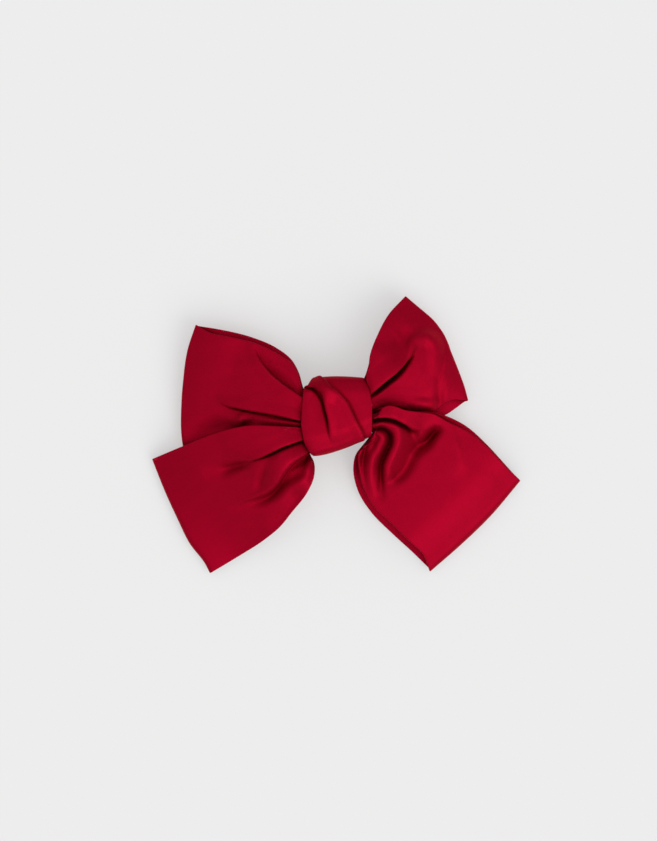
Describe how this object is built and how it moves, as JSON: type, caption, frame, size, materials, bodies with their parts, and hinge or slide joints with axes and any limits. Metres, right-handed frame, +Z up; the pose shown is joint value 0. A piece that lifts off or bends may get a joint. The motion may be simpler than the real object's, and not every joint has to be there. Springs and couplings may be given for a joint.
{
  "type": "hair bow",
  "caption": "Satin hair bow with four folded lobes gathered under a wrapped knot, sewn to a sprung French barrette with a hinged clasp arm.",
  "frame": {"origin": "under the middle of the bow, on the surface that it lies on face up", "axes": "+Z up out of the bow's face, +X along the barrette from its hinge to its catch, +Y towards the upper loops"},
  "size_m": [0.161, 0.1196, 0.0273],
  "materials": {
    "satin": "deep red satin with a soft sheen",
    "felt": "matt felt",
    "thread": "twisted polyester sewing thread",
    "nickel": "bright nickel plate",
    "spring_steel": "plated spring steel"
  },
  "bodies": {
    "bow": {"base_plate": "nickel", "hinge_pin": "nickel", "backing_pad": "felt", "tension_spring_rivet": "nickel", "catch_rivet": "nickel", "catch_web": "spring_steel", "anchor_stitch_1": "thread", "anchor_stitch_2": "thread", "anchor_stitch_3": "thread", "anchor_stitch_4": "thread", "upper_bow_strip": "satin", "lower_bow_strip": "satin", "waist_binding": "thread", "knot_wrap": "satin"},
    "clasp_arm": {"clasp_arm": "nickel"},
    "tension_spring": {"tension_spring": "spring_steel"},
    "catch_cheek_rear": {"catch_cheek_rear": "spring_steel"},
    "catch_cheek_front": {"catch_cheek_front": "spring_steel"}
  },
  "joints": [
    {"name": "clasp_hinge", "type": "hinge", "parent": "bow", "child": "clasp_arm", "pos_m": [-0.0375, 0.009, 0.002], "axis": [0, 1, 0], "range_deg": [0, 80]},
    {"name": "tension_spring_flex", "type": "hinge", "parent": "bow", "child": "tension_spring", "pos_m": [-0.031, 0.009, 0.0077], "axis": [0, -1, 0], "range_deg": [0, 1.5], "stiffness_Nm_per_rad": 1},
    {"name": "catch_cheek_rear_flex", "type": "hinge", "parent": "bow", "child": "catch_cheek_rear", "pos_m": [0.0352, 0.01305, 0.0064], "axis": [0.9627, 0, -0.2706], "range_deg": [0, 6], "stiffness_Nm_per_rad": 0.01},
    {"name": "catch_cheek_front_flex", "type": "hinge", "parent": "bow", "child": "catch_cheek_front", "pos_m": [0.0352, 0.00495, 0.0064], "axis": [-0.9627, 0, 0.2706], "range_deg": [0, 6], "stiffness_Nm_per_rad": 0.01}
  ],
  "couplings": [
    {"joint": "catch_cheek_front_flex", "follows": "catch_cheek_rear_flex", "ratio": 1}
  ]
}
